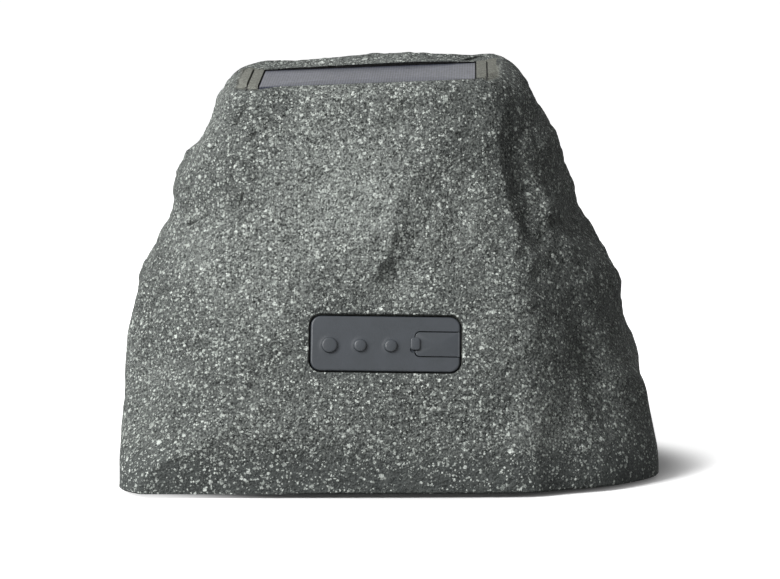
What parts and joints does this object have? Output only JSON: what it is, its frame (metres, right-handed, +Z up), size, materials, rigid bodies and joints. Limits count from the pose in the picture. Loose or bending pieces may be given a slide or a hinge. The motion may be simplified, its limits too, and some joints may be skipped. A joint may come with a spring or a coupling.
{
  "type": "rock shaped garden speaker",
  "caption": "Boulder-shaped outdoor loudspeaker: hollow moulded rock with a solar panel in its flat top, rubber control pad with push buttons and port flap, round grille behind",
  "frame": {"origin": "on the floor, under the middle of the boulder's box, at the underside of the rubber feet", "axes": "+Z up; the control pad faces -Y and the loudspeaker grille faces +Y; +X is to the right of someone who looks at the control pad, along the boulder's greatest width"},
  "size_m": [0.2501, 0.2001, 0.1943],
  "materials": {
    "rock": "moulded rough stone grain with pale specks",
    "pad_rubber": "smooth matt",
    "solar_cell": "dark blue cells with fine lines",
    "clear_resin": "clear, satin",
    "circuit_board": "green lacquer",
    "foam": "closed cell foam",
    "dark_plastic": "fine grain",
    "screw_steel": "plain",
    "grille_metal": "black powder coat",
    "cloth": "thin woven",
    "basket_steel": "black paint",
    "plated_steel": "zinc plate",
    "ferrite": "sintered, dull",
    "spider_cloth": "resin treated weave",
    "black_rubber": "matt",
    "copper": "enamelled wire",
    "cone_paper": "pressed paper",
    "cell_wrap": "shrink wrap"
  },
  "bodies": {
    "housing": {"base_gasket": "foam", "base_plate": "dark_plastic", "base_screws": "screw_steel", "battery_cell_back": "cell_wrap", "battery_cell_front": "cell_wrap", "battery_holder": "dark_plastic", "battery_tape": "foam", "board_screws": "screw_steel", "capacitors": "dark_plastic", "charge_socket": "dark_plastic", "control_board": "circuit_board", "control_gasket": "foam", "control_pad": "pad_rubber", "control_tray": "dark_plastic", "driver_basket": "basket_steel", "driver_gasket": "foam", "driver_magnet": "ferrite", "driver_screws": "screw_steel", "driver_top_plate": "plated_steel", "driver_yoke": "plated_steel", "foot_left_back": "black_rubber", "foot_left_front": "black_rubber", "foot_right_back": "black_rubber", "foot_right_front": "black_rubber", "grille": "grille_metal", "grille_cloth": "cloth", "light_switch": "dark_plastic", "main_board": "circuit_board", "main_board_screws": "screw_steel", "pair_switch": "dark_plastic", "power_switch": "dark_plastic", "rock_shell": "rock", "solar_board": "circuit_board", "solar_cells": "solar_cell", "solar_cover": "clear_resin", "solar_seal": "foam", "spider": "spider_cloth", "surround": "black_rubber", "tray_screws": "screw_steel", "wireless_module": "plated_steel"},
    "power_button": {"power_button": "pad_rubber"},
    "light_button": {"light_button": "pad_rubber"},
    "pair_button": {"pair_button": "pad_rubber"},
    "port_flap": {"port_flap": "pad_rubber"},
    "cone": {"cone": "cone_paper", "dust_cap": "cone_paper", "voice_coil": "copper"}
  },
  "joints": [
    {"name": "power_button_press", "type": "slide", "parent": "housing", "child": "power_button", "axis": [0, 0.9455, -0.3256], "range_m": [0, 0.0008], "stiffness_N_per_m": 300},
    {"name": "light_button_press", "type": "slide", "parent": "housing", "child": "light_button", "axis": [0, 0.9455, -0.3256], "range_m": [0, 0.0008], "stiffness_N_per_m": 300},
    {"name": "pair_button_press", "type": "slide", "parent": "housing", "child": "pair_button", "axis": [0, 0.9455, -0.3256], "range_m": [0, 0.0008], "stiffness_N_per_m": 300},
    {"name": "port_flap_hinge", "type": "hinge", "parent": "housing", "child": "port_flap", "pos_m": [0.03044, -0.08321, 0.06773], "axis": [0.0132, 0.3255, 0.9454], "range_deg": [0, 100], "stiffness_Nm_per_rad": 0.002},
    {"name": "cone_stroke", "type": "slide", "parent": "housing", "child": "cone", "axis": [0, 0.9455, 0.3256], "range_m": [-0.0015, 0.0015], "stiffness_N_per_m": 2000, "deforming": ["surround", "spider"]}
  ]
}
